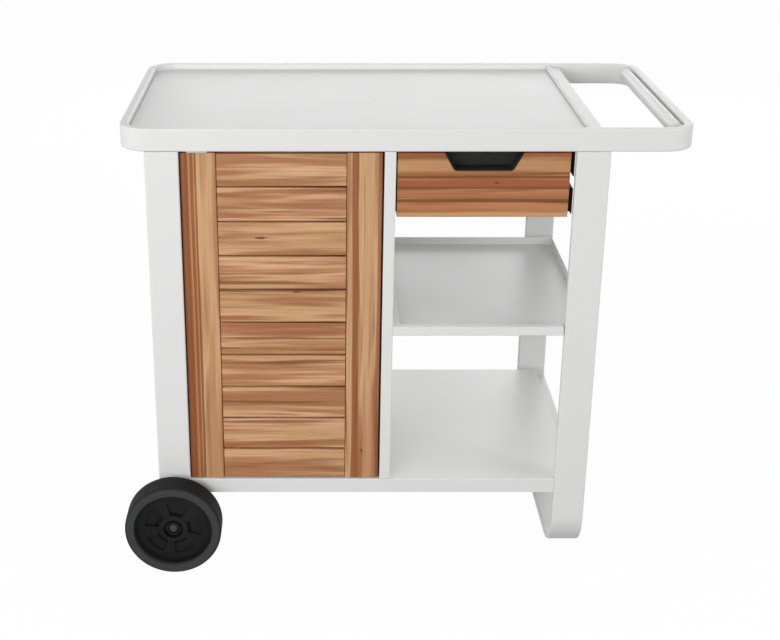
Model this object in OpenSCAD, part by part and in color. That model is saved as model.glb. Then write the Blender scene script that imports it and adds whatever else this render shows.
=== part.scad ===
// Grill table on two wheels: ring-shaped top, cabinet with a slatted door, drawer and two open shelves.
// Lengths are in millimetres, angles in degrees, and +Z is up.
// Inside the modules x starts at the ring's left face and y at the front face of the ring.

/* [Top] */
// Height of the rim above the floor
top_h = 850; // [800:1:900]
// Height of the rim band
band_h = 41; // [36:1:50]
// Thickness of the flat tubes, front to back
tube_t = 15; // [13:1:18]
// Wall of the flat tubes
wall = 1.5; // [1:0.1:2.2]
// Edge rounding of the flat tubes
edge_r = 2.5; // [1.8:0.1:4]
// Depth of the ring, front face to back face
ring_depth = 553; // [480:1:640]
// Outer corner radius of the ring
corner_r = 55; // [40:1:80]
// How far the tray lies below the rim
tray_drop = 10; // [5:0.5:14]
// Height of the tray's folded edge
tray_flange_h = 20; // [16:0.5:24]
// Thickness of the folded sheets
sheet = 1.5; // [1:0.1:2]
// Diameter of the pressed mark in the tray
dimple_d = 16; // [8:1:30]
// Depth of the pressed mark in the tray
dimple_depth = 0.8; // [0.4:0.1:0.9]
// How far the mark lies to the right of the tray's middle
dimple_right = 28; // [-100:1:100]
// How far the mark lies behind the tray's middle
dimple_back = 17; // [-100:1:100]
// Width of each tray brace
brace_w = 50; // [30:1:80]

/* [Layout along the length] */
// Overhang of the ring past the left legs
left_overhang = 46; // [20:1:100]
// Width of the legs
leg_w = 60; // [50:1:70]
// Clear width of the cabinet bay
left_bay = 361; // [330:1:420]
// Width of the divider
post_w = 20; // [16:1:30]
// Clear width of the shelf bay
right_bay = 315; // [280:1:380]
// Length of the ring past the right leg
handle_reach = 150; // [120:1:200]

/* [Legs and rails] */
// Outer bend radius of the right leg
bend_r = 80; // [50:1:100]
// Height of the left legs' lower ends
left_leg_z = 50; // [40:1:60]
// Thickness of the caps under the left legs
leg_cap_t = 4; // [3:0.5:6]
// Length of the cap's plug inside the leg
leg_plug_l = 14; // [8:1:16]
// Width of the side rails
rail_w = 24; // [18:1:30]
// Height of the side rails
rail_h = 16; // [14:1:20]
// How far the rails reach above the front flange's lower edge
rail_overlap = 4; // [2:1:8]

/* [Handle] */
// Diameter of the handle tube
rod_d = 25; // [20:1:28]
// Distance of the handle tube's ends from the ring's corner bends
rod_inset = 1.5; // [1:0.5:40]
// Height of the handle's top below the rim
rod_drop = 2.1; // [1:0.1:6]
// Gap between the handle tube and the ring
rod_gap = 0.5; // [0.3:0.1:2]
// Height of the domed end caps
rod_cap_l = 5; // [3:0.5:8]
// Length of each weld pad on the handle tube
pad_l = 30; // [15:1:50]
// Width of the handle crossbar
crossbar_w = 25.5; // [20:0.5:30]
// Distance between the right leg's inner face and the crossbar
crossbar_in = 21; // [10:1:30]
// How far the crossbar lies below the rim
crossbar_drop = 5; // [3:0.5:9]
// Height of the raised bead on the crossbar
bead_h = 2; // [1:0.5:2.5]
// Width of the raised bead on the crossbar
bead_w = 7; // [4:0.5:10]

/* [Shelves] */
// Height of the lower shelf's top
shelf_z = 165; // [162:1:176]
// Gap between the lower shelf and the rear legs
shelf_gap = 24; // [10:1:40]
// Height of the lower shelf's front flange
flange_h = 28; // [22:1:32]
// Height of the middle shelf's rim
mid_z = 479.5; // [400:0.5:560]
// Gap between the middle shelf and the rear leg
mid_gap = 27; // [10:1:40]
// Height of the middle shelf's raised edges
mid_lip = 17.5; // [14:0.5:24]
// Width of the folded hems on the middle shelf
hem_w = 13; // [8:0.5:16]
// How far the middle shelf's right edge stays inside the leg's outer face
mid_right_in = 7; // [4:0.5:14]
// Side gap between the middle shelf and the right leg
mid_leg_gap = 2; // [1:0.5:4]
// Width of the middle shelf's rear tab
tab_w = 40; // [30:1:44]
// Overlap of the rear tab under the middle shelf
tab_lap = 30; // [20:1:50]

/* [Cabinet and door] */
// How far the back panel stays in front of the lower shelf's back edge
back_in = 2; // [1:0.5:6]
// Thickness of the wood
wood_t = 18; // [15:0.5:20]
// How far the wooden fronts lie behind the front face
front_set = 5; // [4:0.5:8]
// Gap above the door and the drawer front
top_gap = 3; // [2.5:0.1:4]
// Gap under the door
door_bottom_gap = 2; // [1.8:0.1:4]
// Gap on the door's left side
door_gap_l = 2; // [2:0.1:4]
// Gap on the door's right side
door_gap_r = 3; // [2:0.1:5]
// Width of the door's stiles
stile_w = 62.8; // [55:0.1:75]
// Number of slats
slat_count = 10; // [8:1:12]
// Height that the top and bottom slats lose
slat_trim = 3; // [0:0.5:6]
// Chamfer along the slats' front edges
slat_chamfer = 2; // [1:0.1:3]
// Corner rounding of the stiles
stile_r = 3; // [2:0.5:4]
// Width of the battens on the door's back
batten_w = 40; // [34:1:46]
// Thickness of the battens
batten_t = 12; // [10:1:16]
// Distance of the battens' ends from the door's ends
batten_end = 14; // [13:1:30]
// Distance of the pivot from the door's left edge
pivot_in = 30; // [26:1:32]
// Diameter of the pivot pins
pivot_d = 8; // [6:0.5:9]
// Radial play of pins and axle in their bores
play = 0.05; // [0.02:0.01:0.09]
// Outer diameter of the pivot bushes
bush_d = 12; // [11.5:0.5:14]
// Depth of the bushes' holes in the wood
bush_l = 20; // [12:1:24]
// Gap between the bushes and the bottoms of their holes
bush_end_gap = 1; // [0.5:0.1:2]
// Gap between the pins and the bottoms of those holes
pin_end_gap = 3; // [2:0.5:5]
// Diameter of the bushes' flanges and of the pins' feet
bush_flange_d = 16; // [15:0.5:17]
// Thickness of the bushes' flanges
bush_flange_t = 0.9; // [0.8:0.1:1]
// Gap between faces that turn on each other
thrust_gap = 0.3; // [0.2:0.05:0.4]
// Height of the magnet catch
catch_h = 32; // [24:1:50]
// Width of the magnet catch and the strike plate
catch_w = 16; // [10:1:20]
// Gap between magnet catch and strike plate
catch_gap = 0.4; // [0.3:0.1:0.8]
// Distance of the strike plate from the door's right edge
strike_in = 1; // [0.5:0.5:4]

/* [Drawer] */
// Height of the drawer front
drawer_h = 117; // [105:1:130]
// Gap left of the drawer front
drawer_gap_l = 2.7; // [2:0.1:5]
// Gap right of the drawer front
drawer_gap_r = 9.2; // [6:0.1:11]
// Room between the drawer box and the rear legs
box_gap = 75; // [50:1:160]
// Height of the drawer box
box_h = 80; // [70:1:80]
// Wall of the drawer box
box_wall = 1.2; // [0.8:0.1:1.6]
// Height of the drawer box above the drawer front's lower edge
box_rise = 2; // [1:0.5:3]
// Height of the runners
runner_h = 45; // [43:1:48]
// Thickness of each runner, wall to drawer
runner_t = 12.7; // [12:0.1:13.5]
// Sheet thickness of the runners
runner_sheet = 1.2; // [1:0.05:1.3]
// Gap between the runners' members
runner_gap = 0.4; // [0.3:0.05:0.5]
// Room between the runners and the rear legs
runner_room = 64; // [45:1:120]
// Gap between the drawer front and the runners
runner_in = 1; // [0.5:0.5:3]
// Height of the runners above the drawer box's floor
runner_rise = 2; // [0:0.5:6]
// Width of the grip cut-out at its floor
grip_w = 104; // [80:0.5:120]
// How much wider the cut-out is at its top, each side
grip_flare = 18; // [10:0.5:30]
// Depth of the grip cut-out
grip_h = 33; // [24:0.5:33]
// Corner radius of the cut-out's floor
grip_r = 10; // [4:0.5:12]
// Depth of the grip pocket, front to back
pocket_l = 36; // [30:1:50]
// Wall of the grip pocket
pocket_wall = 2; // [1.5:0.1:3]
// Gap between the grip pocket and the wood
pocket_gap = 0.3; // [0.2:0.05:0.5]
// Thickness of the side bracket's sheet
bracket_t = 2; // [1.5:0.1:2.5]
// Width of the side bracket's top flange
bracket_flange = 22; // [15:1:30]
// Height of the window in the side bracket
window_h = 22; // [10:1:30]
// Length of the window in the side bracket
window_l = 45; // [20:1:80]

/* [Wheels] */
// Diameter of the wheels
wheel_d = 182; // [170:1:183]
// Width of the wheels
wheel_w = 52; // [40:1:56]
// Distance between leg and wheel
spacer_l = 18; // [10:1:30]
// Outer diameter of the spacers
spacer_d = 22; // [18:1:26]
// Radial height of the tyre
tyre_h = 17; // [14:1:18]
// Rounding of the tyre's shoulders
shoulder_r = 6; // [4:0.5:7]
// Width of the key that holds the tyre on the rim
key_w = 12; // [8:1:16]
// Height of the key that holds the tyre on the rim
key_h = 2; // [1:0.5:2]
// Diameter of the axle
axle_d = 12; // [10:1:13]
// Length of the push-on caps on the axle
cap_l = 6; // [5:0.5:7]
// Wall of the push-on caps
cap_wall = 1.5; // [1:0.1:2]
// Diameter of the hub's boss
boss_d = 54; // [50:1:60]
// Outer diameter of the ring groove in the boss
cup_d = 37; // [34:1:42]
// Outer diameter of the sleeve inside the ring groove
sleeve_d = 27; // [25:1:30]
// Bore of the sleeve, around the axle's cap
sleeve_bore = 19; // [18:0.5:21]
// How far the sleeve ends below the boss's face
sleeve_set = 1.5; // [1:0.5:3]
// Depth of the ring groove and of the sleeve's bore
cup_depth = 8; // [6:0.5:10]
// How far the boss lies behind the tyre's face
boss_set = 9; // [6:0.5:10]
// How far the hub's web lies behind the tyre's face, at the rim
web_set = 13; // [12:0.5:16]
// How much further out the web lies at the boss
web_dish = 2; // [1:0.5:2]
// Thickness of the hub's web at the rim
web_t = 10; // [9:0.5:13]
// Wall of the hub's rim
rim_t = 4; // [3.5:0.5:6]
// Number of pockets in the hub
hub_pockets = 5; // [3:1:6]
// Angle that each pocket spans
pocket_angle = 46; // [30:1:56]
// Distance between the boss and the pockets
pocket_in = 1; // [0.5:0.5:2]
// Radial length of each pocket
pocket_r = 26; // [20:1:32]
// Depth of the pockets' floors
pocket_depth = 3; // [2:0.5:5]
// Width of the deep slot in each pocket, beside the boss
slot_w = 6; // [4:0.5:10]
// Depth of the deep slot in each pocket
slot_depth = 8; // [6:0.5:9]
// Turn of the first pocket away from the top
pocket_turn = -11; // [-36:1:36]

/* [Fasteners] */
// Distance of the drawer's screws from the edges of its box
screw_edge = 16; // [10:1:30]
// Diameter of the wood screws
screw_d = 4; // [3:0.1:4.5]
// Length of the wood screws in the wood
screw_bite = 11; // [8:0.5:12]
// Diameter of the screw heads
head_d = 8; // [6.5:0.1:9]
// Height of the screw heads
head_h = 2; // [1.5:0.1:2.5]
// Radial clearance of screws in their holes
screw_gap = 0.2; // [0.1:0.05:0.4]
// Gap between the wood screws and the bottoms of their holes
screw_end_gap = 1; // [0.5:0.1:2]
// Diameter of the rail and tab screws
bolt_d = 5; // [4:0.5:6]
// Length of the rail and tab screws
bolt_l = 8; // [7:0.5:10]

/* [Hidden] */
$fn = 48;
white = "whitesmoke";
wood = "peru";
dark_wood = "sienna";
black = "dimgray";
steel = "silver";
// Places along the length
x_leg_l = left_overhang;
x_bay_l = x_leg_l + leg_w;
x_post = x_bay_l + left_bay;
x_bay_r = x_post + post_w;
x_leg_r = x_bay_r + right_bay;
x_leg_end = x_leg_r + leg_w;
ring_len = x_leg_end + handle_reach;
x_cross = x_leg_r + crossbar_in;
wheel_x = x_leg_l + leg_w / 2;
x_middle = (min(0, wheel_x - wheel_d / 2) + ring_len) / 2;
// Places along the depth
y_rear = ring_depth - tube_t;
y_wood = front_set + wood_t;
shelf_depth = y_rear - shelf_gap;
mid_depth = y_rear - mid_gap;
back_y = shelf_depth - back_in;
// Heights
z_ring = top_h - band_h;
z_tray = top_h - tray_drop;
z_under = z_tray - sheet;
z_hang = z_tray - tray_flange_h;
z_flange = shelf_z - flange_h;
z_rail = z_flange + rail_overlap - rail_h;
mid_floor = mid_z - mid_lip;
wheel_r = wheel_d / 2;
// Overshoot of the cutting shapes
slack = 1;

// Door
door_x = x_bay_l + door_gap_l;
door_end = x_post - door_gap_r;
door_z = shelf_z + door_bottom_gap;
door_top = z_ring - top_gap;
slat_x = door_x + stile_w;
slat_end = door_end - stile_w;
slat_pitch = (door_top - door_z + 2 * slat_trim) / slat_count;
pivot_x = door_x + pivot_in;
pivot_y = front_set + wood_t / 2;
batten_xs = [slat_x - batten_w / 2, slat_end - batten_w / 2];
batten_z = door_z + batten_end;
batten_top = door_top - batten_end;

// Drawer
drawer_x = x_bay_r + drawer_gap_l;
drawer_end = x_leg_r - drawer_gap_r;
drawer_z = door_top - drawer_h;
drawer_mid = (drawer_x + drawer_end) / 2;
box_x = x_bay_r + runner_t;
box_end = x_leg_r - bracket_t - runner_t;
box_z = drawer_z + box_rise;
runner_z = box_z + runner_rise;
runner_y = y_wood + runner_in;
runner_l = y_rear - runner_room - runner_y;
box_l = y_rear - box_gap - y_wood;

// The model's origin lies on the floor under the middle of its box.
module place() {
  translate([-x_middle, -ring_depth / 2, 0]) children();
}

// A box given by its two corners
module span(low, high) {
  translate(low) cube([high[0] - low[0], high[1] - low[1], high[2] - low[2]]);
}

// A flat rectangle with round corners, its lower corner at the origin
module rounded(w, h, r) {
  translate([r, 0]) square([w - 2 * r, h]);
  translate([0, r]) square([w, h - 2 * r]);
  for (x = [r, w - r])
    for (y = [r, h - r])
      translate([x, y]) circle(r);
}

// Section of a hollow flat tube
module tube_section(w, h) {
  difference() {
    rounded(w, h, edge_r);
    translate([wall, wall]) rounded(w - 2 * wall, h - 2 * wall, edge_r / 2);
  }
}

// Runs a section along X: its first axis lies along Y, its second along Z.
module along_x(length) {
  rotate([90, 0, 90]) linear_extrude(length) children();
}

// Runs a section along Y: its first axis lies along X, its second along Z.
module along_y(length) {
  translate([0, length, 0]) rotate([90, 0, 0]) linear_extrude(length) children();
}

// A round rod along Y
module rod_y(d, length) {
  rotate([-90, 0, 0]) cylinder(d = d, h = length);
}

// Points of an arc
function arc(c, r, a0, a1, steps) =
  [for (i = [0 : steps]) let (a = a0 + (a1 - a0) * i / steps) [c[0] + r * cos(a), c[1] + r * sin(a)]];

// A pan-head screw: the head stands on z = 0 and the shank points down.
module screw(d, length) {
  cylinder(d = head_d, h = head_h);
  translate([0, 0, -length]) cylinder(d = d, h = length);
}

module screw_hole(d, length) {
  translate([0, 0, -length]) cylinder(d = d + 2 * screw_gap, h = length + slack);
}

// Turns a screw so that its head looks towards the back
module head_to_back() {
  rotate([-90, 0, 0]) children();
}

// The top ring, swept from a flat tube
module ring_side_x(y) {
  translate([corner_r, y, z_ring]) along_x(ring_len - 2 * corner_r) tube_section(tube_t, band_h);
}

module ring_side_y(x) {
  translate([x, corner_r, z_ring]) along_y(ring_depth - 2 * corner_r) tube_section(tube_t, band_h);
}

module ring_corner(x, y, turn) {
  translate([x, y, z_ring]) rotate(turn)
    rotate_extrude(angle = 90) translate([corner_r - tube_t, 0]) tube_section(tube_t, band_h);
}

module top_ring() {
  color(white) place() {
    ring_side_x(0);
    ring_side_x(y_rear);
    ring_side_y(0);
    ring_side_y(ring_len - tube_t);
    ring_corner(corner_r, corner_r, 180);
    ring_corner(ring_len - corner_r, corner_r, 270);
    ring_corner(ring_len - corner_r, ring_depth - corner_r, 0);
    ring_corner(corner_r, ring_depth - corner_r, 90);
  }
}

// Outline of the tray, with its two left corners following the ring
module tray_outline(inset) {
  r = corner_r - tube_t + slack - inset;
  translate([tube_t + inset, tube_t + inset]) {
    translate([r, 0]) square([x_cross - tube_t - 2 * inset - r, y_rear - tube_t - 2 * inset]);
    translate([0, r]) square([r, y_rear - tube_t - 2 * inset - 2 * r]);
    translate([r, r]) circle(r);
    translate([r, y_rear - tube_t - 2 * inset - r]) circle(r);
  }
}

module table_tray() {
  color(white) place() difference() {
    translate([0, 0, z_hang]) linear_extrude(tray_flange_h) tray_outline(0);
    translate([0, 0, z_hang - slack]) linear_extrude(tray_flange_h - sheet + slack) tray_outline(sheet);
    translate([(tube_t + x_cross) / 2 + dimple_right, ring_depth / 2 + dimple_back, z_tray - dimple_depth])
      cylinder(d1 = dimple_d / 2, d2 = dimple_d, h = dimple_depth + 0.01);
  }
}

// Two channels under the tray, open upwards
module tray_brace(x) {
  translate([x - brace_w / 2, tube_t + sheet, z_hang]) difference() {
    cube([brace_w, y_rear - tube_t - 2 * sheet, z_under - z_hang]);
    translate([sheet, -slack, sheet])
      cube([brace_w - 2 * sheet, ring_depth, z_under - z_hang]);
  }
}

module tray_braces() {
  color(white) place() {
    tray_brace(x_bay_l + left_bay / 2);
    tray_brace(x_bay_r + right_bay / 2);
  }
}

module handle_crossbar() {
  bar_top = top_h - crossbar_drop;
  color(white) place() translate([x_cross, tube_t, z_ring]) along_y(y_rear - tube_t) difference() {
    union() {
      square([crossbar_w, bar_top - z_ring]);
      translate([bead_w / 2, bar_top - z_ring]) square([bead_w, bead_h]);
    }
    translate([sheet, -slack]) square([crossbar_w - 2 * sheet, bar_top - z_ring - sheet + slack]);
  }
}

rod_x = ring_len - tube_t - rod_gap - rod_d / 2;
rod_z = top_h - rod_drop - rod_d / 2;
rod_y0 = corner_r + rod_inset;
rod_l = ring_depth - 2 * rod_y0;

// The handle tube with three weld pads that meet the ring
module handle_tube() {
  pad_h = rod_d / 3;
  color(white) place() difference() {
    union() {
      translate([rod_x, rod_y0, rod_z]) rod_y(rod_d, rod_l);
      for (y = [rod_y0 + pad_l, ring_depth / 2, rod_y0 + rod_l - pad_l])
        span([rod_x + rod_d / 2 - 2 * wall, y - pad_l / 2, rod_z - pad_h / 2],
             [ring_len - tube_t, y + pad_l / 2, rod_z + pad_h / 2]);
    }
    translate([rod_x, rod_y0 - slack, rod_z]) rod_y(rod_d - 2 * wall, rod_l + 2 * slack);
  }
}

// One domed plastic cap, its dome towards +Z
module handle_cap() {
  plug_d = rod_d - 2 * wall - 2 * pocket_gap;
  translate([0, 0, -rod_cap_l * 2]) cylinder(d = plug_d, h = rod_cap_l * 2);
  cylinder(d = rod_d, h = rod_cap_l / 2);
  translate([0, 0, rod_cap_l / 2]) cylinder(d1 = rod_d, d2 = rod_d - rod_cap_l, h = rod_cap_l / 2);
}

module handle_end_caps() {
  color(white) place() {
    translate([rod_x, rod_y0, rod_z]) rotate([90, 0, 0]) handle_cap();
    translate([rod_x, rod_y0 + rod_l, rod_z]) rotate([-90, 0, 0]) handle_cap();
  }
}

// A quarter bend of the leg tube around an axis along X
module leg_bend(turn) {
  rotate([90, 0, 90]) rotate(turn)
    rotate_extrude(angle = 90) translate([bend_r - tube_t, 0]) tube_section(tube_t, leg_w);
}

// The right leg: one tube bent into a U that stands on the floor
module right_leg() {
  color(white) place() difference() {
    translate([x_leg_r, 0, 0]) {
      for (y = [0, y_rear])
        translate([0, y, bend_r]) linear_extrude(z_ring - bend_r) tube_section(leg_w, tube_t);
      translate([0, bend_r, 0]) along_y(ring_depth - 2 * bend_r) tube_section(leg_w, tube_t);
      translate([0, bend_r, bend_r]) leg_bend(180);
      translate([0, ring_depth - bend_r, bend_r]) leg_bend(270);
    }
    tab_bolts() screw_hole(bolt_d, bolt_l);
  }
}

module left_leg(y) {
  place() difference() {
    translate([x_leg_l, y, left_leg_z]) linear_extrude(z_ring - left_leg_z) tube_section(leg_w, tube_t);
    translate([wheel_x, y - slack, wheel_r]) rod_y(axle_d + 2 * screw_gap, tube_t + 2 * slack);
  }
}

module left_leg_front() {
  color(white) left_leg(0);
}

module left_leg_rear() {
  color(white) left_leg(y_rear);
}

module leg_caps() {
  inner = wall + pocket_gap;
  color(black) place() for (y = [0, y_rear]) translate([x_leg_l, y, left_leg_z]) {
    translate([0, 0, -leg_cap_t]) linear_extrude(leg_cap_t) rounded(leg_w, tube_t, edge_r);
    translate([inner, inner, 0]) linear_extrude(leg_plug_l)
      rounded(leg_w - 2 * inner, tube_t - 2 * inner, edge_r / 2);
  }
}

module side_rail(x) {
  place() difference() {
    translate([x, tube_t, z_rail]) along_y(y_rear - tube_t) difference() {
      square([rail_w, rail_h]);
      translate([wall, wall]) square([rail_w - 2 * wall, rail_h - 2 * wall]);
    }
    rail_bolts() screw_hole(bolt_d, bolt_l);
  }
}

module side_rail_left() {
  color(white) side_rail(x_leg_l);
}

module side_rail_right() {
  color(white) side_rail(x_leg_end - rail_w);
}

// Places of the bolts through the lower shelf's side skirts
module rail_bolts() {
  for (y = [shelf_depth * 0.15, shelf_depth * 0.5, shelf_depth * 0.85]) {
    translate([x_leg_l + rail_w + sheet, y, z_rail + rail_h / 2]) rotate([0, 90, 0]) children();
    translate([x_leg_end - rail_w - sheet, y, z_rail + rail_h / 2]) rotate([0, -90, 0]) children();
  }
}

module rail_screws() {
  color(steel) place() rail_bolts() screw(bolt_d, bolt_l);
}

// Plan of the lower shelf, which reaches forward between the legs
module shelf_plan(inset) {
  translate([x_leg_l + rail_w + inset, tube_t + inset])
    square([x_leg_end - x_leg_l - 2 * rail_w - 2 * inset, shelf_depth - tube_t - 2 * inset]);
  translate([x_bay_l + inset, inset]) square([x_leg_r - x_bay_l - 2 * inset, tube_t + slack]);
}

module bottom_shelf() {
  color(white) place() difference() {
    union() {
      translate([0, 0, z_flange]) linear_extrude(flange_h) shelf_plan(0);
      for (x = [x_leg_l + rail_w, x_leg_end - rail_w - sheet])
        span([x, tube_t, z_rail], [x + sheet, shelf_depth, shelf_z]);
    }
    translate([0, 0, z_flange - slack]) linear_extrude(flange_h - sheet + slack) shelf_plan(sheet);
    rail_bolts() screw_hole(bolt_d, bolt_l);
  }
}

// Plan of the middle shelf, notched around the right leg
module mid_plan(inset) {
  right = x_leg_end - mid_right_in;
  translate([x_bay_r + inset, tube_t + inset])
    square([right - x_bay_r - 2 * inset, mid_depth - tube_t - 2 * inset]);
  translate([x_bay_r + inset, inset])
    square([x_leg_r - mid_leg_gap - x_bay_r - 2 * inset, tube_t + slack]);
}

module middle_shelf() {
  color(white) place() {
    difference() {
      translate([0, 0, mid_floor]) linear_extrude(mid_lip) mid_plan(0);
      translate([0, 0, mid_floor + sheet]) linear_extrude(mid_lip) mid_plan(sheet);
    }
    translate([0, 0, mid_z - sheet]) linear_extrude(sheet) intersection() {
      mid_plan(0);
      union() {
        translate([x_bay_r, 0]) square([hem_w, mid_depth]);
        translate([x_bay_r, 0]) square([right_bay, hem_w]);
      }
    }
  }
}

tab_x = x_leg_r + (leg_w - mid_right_in) / 2;
tab_h = 1.25 * head_d;

module tab_bolts() {
  for (x = [tab_x - tab_w / 4, tab_x + tab_w / 4])
    translate([x, y_rear - sheet, mid_floor + tab_h / 2]) rotate([90, 0, 0]) children();
}

// Angle that carries the middle shelf's back edge on the rear leg
module shelf_tab() {
  low = [tab_x - tab_w / 2, mid_depth - tab_lap, mid_floor - sheet];
  color(white) place() difference() {
    union() {
      span(low, [tab_x + tab_w / 2, y_rear, mid_floor]);
      span([low[0], y_rear - sheet, low[2]], [tab_x + tab_w / 2, y_rear, mid_floor + tab_h]);
    }
    tab_bolts() screw_hole(bolt_d, bolt_l);
  }
}

module tab_screws() {
  color(steel) place() tab_bolts() screw(bolt_d, bolt_l);
}

// Divider between cabinet and shelves, folded with an open back
module divider_panel() {
  color(white) place() difference() {
    union() {
      span([x_post, 0, shelf_z], [x_bay_r, back_y, z_ring]);
      span([x_post, tube_t, shelf_z], [x_bay_r, back_y, z_hang]);
      span([x_post, tube_t + sheet, shelf_z], [x_bay_r, back_y, z_under]);
    }
    span([x_post + sheet, sheet, shelf_z - slack], [x_bay_r - sheet, back_y + slack, z_under + slack]);
  }
}

// The cabinet's left wall, notched around the tray's folded edge
module cabinet_side() {
  color(white) place() {
    span([x_bay_l - sheet, tube_t, shelf_z], [x_bay_l, y_rear, z_hang]);
    span([x_bay_l - sheet, tube_t + sheet, z_hang], [x_bay_l, y_rear - sheet, z_under]);
  }
}

module cabinet_back() {
  color(white) place() span([x_bay_l, back_y - sheet, shelf_z], [x_post, back_y, z_hang]);
}

// Places of the screws through the battens, into every slat and into the stiles
module batten_places(x, stile_side) {
  for (i = [0 : slat_count - 1])
    translate([x + batten_w / 2 - stile_side * batten_w / 4, y_wood + batten_t, slat_mid(i)]) children();
  for (z = [batten_z + stile_w, batten_top - stile_w])
    translate([x + batten_w / 2 + stile_side * batten_w / 4, y_wood + batten_t, z]) children();
}

module door_screw_places() {
  batten_places(batten_xs[0], -1) head_to_back() children();
  batten_places(batten_xs[1], 1) head_to_back() children();
}

function slat_low(i) = max(door_z, door_z - slat_trim + i * slat_pitch);
function slat_high(i) = min(door_top, door_z - slat_trim + (i + 1) * slat_pitch);
function slat_mid(i) = (slat_low(i) + slat_high(i)) / 2;

module stile(x) {
  place() difference() {
    translate([x, front_set, door_z]) linear_extrude(door_top - door_z) rounded(stile_w, wood_t, stile_r);
    door_screw_places() screw_hole(screw_d, batten_t + screw_bite);
    for (z = [door_z - slack, door_top - bush_l])
      translate([pivot_x, pivot_y, z]) cylinder(d = bush_d + 2 * play, h = bush_l + slack);
  }
}

module door_stile_left() {
  color(dark_wood) stile(door_x);
}

module door_stile_right() {
  color(dark_wood) stile(slat_end);
}

// One horizontal slat with chamfered front edges
module slat(i) {
  low = slat_low(i);
  high = slat_high(i);
  c = slat_chamfer;
  color(wood) place() difference() {
    translate([slat_x, 0, 0]) along_x(slat_end - slat_x) polygon([
      [front_set + c, low], [y_wood, low], [y_wood, high],
      [front_set + c, high], [front_set, high - c], [front_set, low + c]
    ]);
    door_screw_places() screw_hole(screw_d, batten_t + screw_bite);
  }
}

module door_battens() {
  color(wood) place() difference() {
    for (x = batten_xs)
      span([x, y_wood, batten_z], [x + batten_w, y_wood + batten_t, batten_top]);
    door_screw_places() screw_hole(screw_d, batten_t + screw_bite);
  }
}

module batten_screws() {
  color(steel) place() door_screw_places() screw(screw_d, batten_t + screw_bite - screw_end_gap);
}

// Flanged plastic bushes at both ends of the left stile
module bush() {
  difference() {
    union() {
      cylinder(d = bush_d, h = bush_l - bush_end_gap);
      translate([0, 0, -bush_flange_t]) cylinder(d = bush_flange_d, h = bush_flange_t);
    }
    translate([0, 0, -slack]) cylinder(d = pivot_d + 2 * play, h = bush_l + 2 * slack);
  }
}

module pivot_bushes() {
  color(black) place() {
    translate([pivot_x, pivot_y, door_z]) bush();
    translate([pivot_x, pivot_y, door_top]) mirror([0, 0, 1]) bush();
  }
}

module pivot_pin_lower() {
  foot_t = door_bottom_gap - bush_flange_t - thrust_gap;
  color(steel) place() translate([pivot_x, pivot_y, shelf_z]) {
    cylinder(d = bush_flange_d, h = foot_t);
    cylinder(d = pivot_d, h = door_bottom_gap + bush_l - pin_end_gap);
  }
}

// Plate under the ring that holds the upper pin
module pivot_pin_upper() {
  plate_t = top_gap - bush_flange_t - thrust_gap;
  plate_x = bush_flange_d + 2;
  color(steel) place() {
    span([pivot_x - plate_x, edge_r, z_ring - plate_t],
         [pivot_x + plate_x, pivot_y + bush_flange_d / 2, z_ring]);
    translate([pivot_x, pivot_y, z_ring - top_gap - bush_l + pin_end_gap])
      cylinder(d = pivot_d, h = top_gap + bush_l - pin_end_gap);
  }
}

catch_top = door_top - stile_r;

module strike_plate() {
  color(steel) place()
    span([door_end - catch_w, y_wood, catch_top - catch_h],
         [door_end - strike_in, y_wood + sheet, catch_top]);
}

module magnet_catch() {
  y = y_wood + sheet + catch_gap;
  color(black) place()
    span([x_post - catch_w, y, catch_top - catch_h], [x_post, y + catch_w, catch_top]);
}

// Outline of the grip cut-out around x = 0, its floor at z = 0; edge insets it all round
function grip_points(edge) =
  let (lean = atan2(grip_h, grip_flare))
  let (half = grip_w / 2 - edge * tan(lean / 2))
  let (r = grip_r - edge)
  let (cx = half - r * tan(lean / 2))
  let (top_z = grip_h + slack)
  let (top_x = half + (top_z - edge) / tan(lean))
  concat(
    [[-top_x, top_z]],
    arc([-cx, r + edge], r, 270 - lean, 270, 8),
    arc([cx, r + edge], r, -90, lean - 90, 8),
    [[top_x, top_z]]
  );

grip_z = door_top - grip_h;

module drawer_screw_places() {
  for (x = [box_x + screw_edge, box_end - screw_edge])
    for (z = [box_z + screw_edge, box_z + box_h - screw_edge])
      translate([x, y_wood + box_wall, z]) head_to_back() children();
}

module drawer_front() {
  color(dark_wood) place() difference() {
    span([drawer_x, front_set, drawer_z], [drawer_end, y_wood, door_top]);
    translate([drawer_mid, front_set - slack, grip_z]) along_y(wood_t + 2 * slack) polygon(grip_points(0));
    drawer_screw_places() screw_hole(screw_d, box_wall + screw_bite);
  }
}

// Black pocket in the cut-out, open at the front and at the top
module grip_pocket() {
  color(black) place() intersection() {
    translate([drawer_mid, front_set + pocket_gap, grip_z]) difference() {
      along_y(pocket_l) polygon(grip_points(pocket_gap));
      translate([0, -slack, 0]) along_y(pocket_l - pocket_wall + slack)
        polygon(grip_points(pocket_gap + pocket_wall));
    }
    span([drawer_x, 0, drawer_z], [drawer_end, ring_depth, door_top]);
  }
}

// The drawer box's floor, front wall and sides are folded from one sheet
module drawer_box() {
  color(black) place() difference() {
    span([box_x, y_wood, box_z], [box_end, y_wood + box_l, box_z + box_h]);
    span([box_x + box_wall, y_wood + box_wall, box_z + box_wall],
         [box_end - box_wall, y_wood + box_l + slack, box_z + box_h + slack]);
    drawer_screw_places() screw_hole(screw_d, box_wall + screw_bite);
  }
}

// Its back wall is welded in between the sides
module drawer_back() {
  color(black) place()
    span([box_x + box_wall, y_wood + box_l - box_wall, box_z + box_wall],
         [box_end - box_wall, y_wood + box_l, box_z + box_h]);
}

module drawer_screws() {
  color(steel) place() drawer_screw_places() screw(screw_d, box_wall + screw_bite - screw_end_gap);
}

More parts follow.
